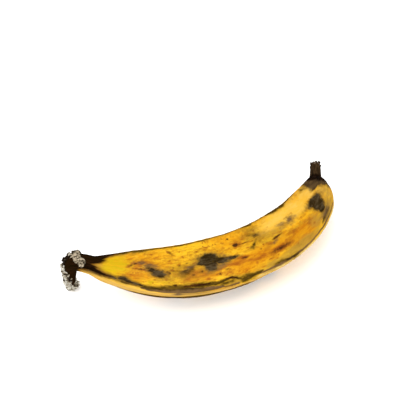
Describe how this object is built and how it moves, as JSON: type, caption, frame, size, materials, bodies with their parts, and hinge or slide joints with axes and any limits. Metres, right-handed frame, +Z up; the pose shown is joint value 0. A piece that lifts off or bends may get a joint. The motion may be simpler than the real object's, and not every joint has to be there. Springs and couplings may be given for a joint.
{
  "type": "plantain",
  "caption": "Ripe spotted plantain lying on its side: a curved, ridged fruit with a bent dark stalk, a dried crust of crown and a short beak.",
  "frame": {"origin": "centre of the bounding box in the floor plane, at the height of the surface that the fruit rests on", "axes": "+X from the torn stalk end towards the blossom end, -Y towards the outer bend, +Z up"},
  "size_m": [0.2234, 0.088, 0.0456],
  "materials": {
    "peel": "satin",
    "crust": "matte",
    "scar": "matte"
  },
  "bodies": {
    "root": {"fruit": "peel", "torn_crown": "crust", "flower_scar": "scar"}
  },
  "joints": []
}
